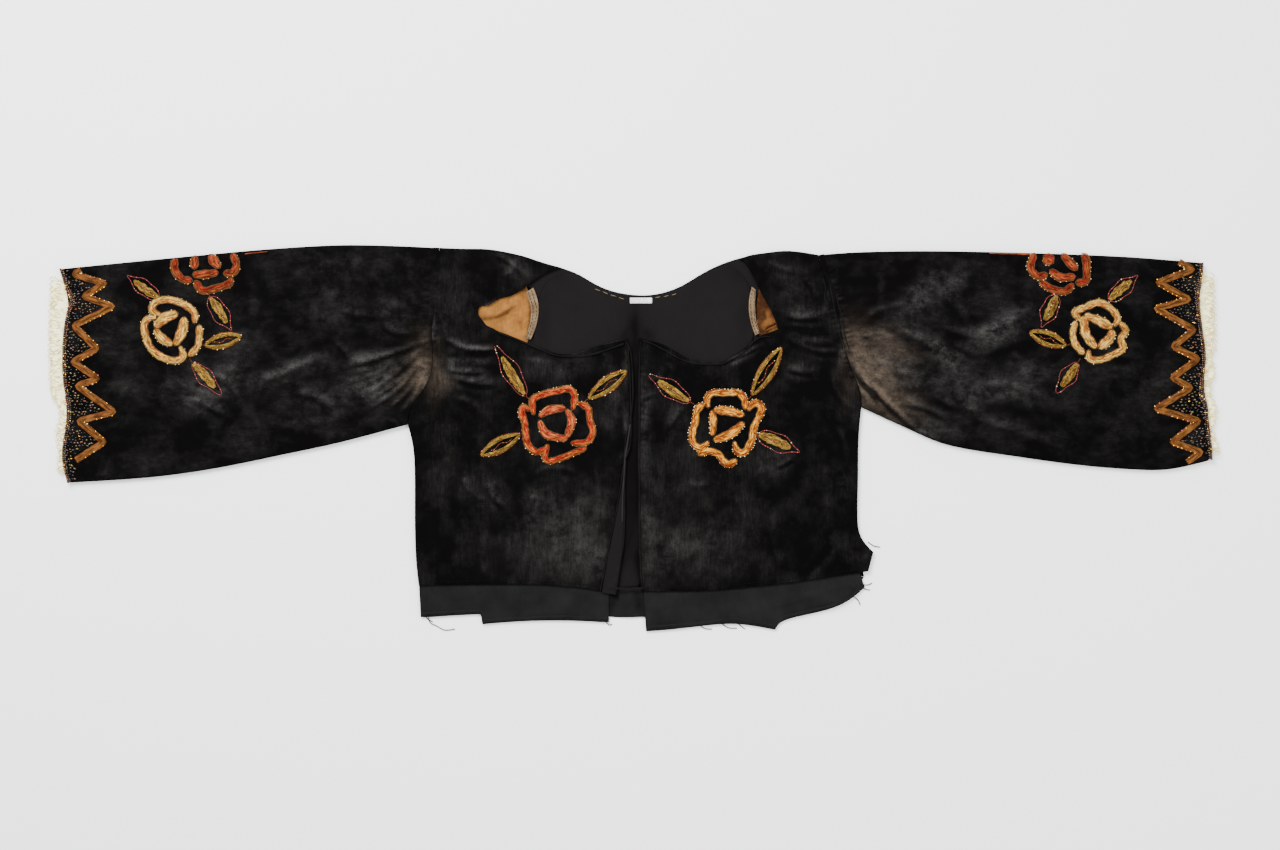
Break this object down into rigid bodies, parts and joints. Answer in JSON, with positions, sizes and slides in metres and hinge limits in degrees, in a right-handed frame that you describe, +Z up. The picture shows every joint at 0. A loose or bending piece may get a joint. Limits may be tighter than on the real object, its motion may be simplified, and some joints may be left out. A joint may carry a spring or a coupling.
{
  "type": "embroidered velvet folk bodice with long sleeves, laid flat",
  "caption": "Long-sleeved velvet bodice laid flat with its front up, with open front, dark hem bands, zigzag ribbon and lace at the cuffs, and raised rose sprays.",
  "frame": {"origin": "middle of the laid-out bodice's box, on the surface it rests on", "axes": "+X towards the wearer's left sleeve (viewer's right), +Y towards the neck, +Z up off the surface, out of the front"},
  "size_m": [1.1729, 0.3861, 0.0107],
  "materials": {
    "velvet": "crushed pile",
    "cotton": "matt",
    "lining": "smooth",
    "sleeve_lining": "smooth",
    "tape": "matt",
    "tab": "matt",
    "ribbon": "velvet",
    "lace": "cotton lace",
    "rose_red": "plush embroidery",
    "rose_gold": "plush embroidery",
    "rose_yellow": "plush embroidery"
  },
  "bodies": {
    "root": {"front_right": "velvet", "front_left": "velvet", "back": "velvet", "sleeve_right": "velvet", "sleeve_left": "velvet", "back_lining": "lining", "sleeve_lining_right": "sleeve_lining", "sleeve_lining_left": "sleeve_lining", "armhole_tape_right": "tape", "armhole_tape_left": "tape", "neck_tab": "tab", "hem_band_front_right": "cotton", "hem_band_front_left": "cotton", "hem_band_back": "cotton", "cuff_zigzag_right": "ribbon", "cuff_zigzag_left": "ribbon", "cuff_lace_right": "lace", "cuff_lace_left": "lace", "spray_front_right": "rose_red", "spray_front_left": "rose_gold", "spray_sleeve_right": "rose_yellow", "spray_sleeve_left": "rose_yellow", "spray_fold_right": "rose_red", "spray_fold_left": "rose_red"}
  },
  "joints": []
}
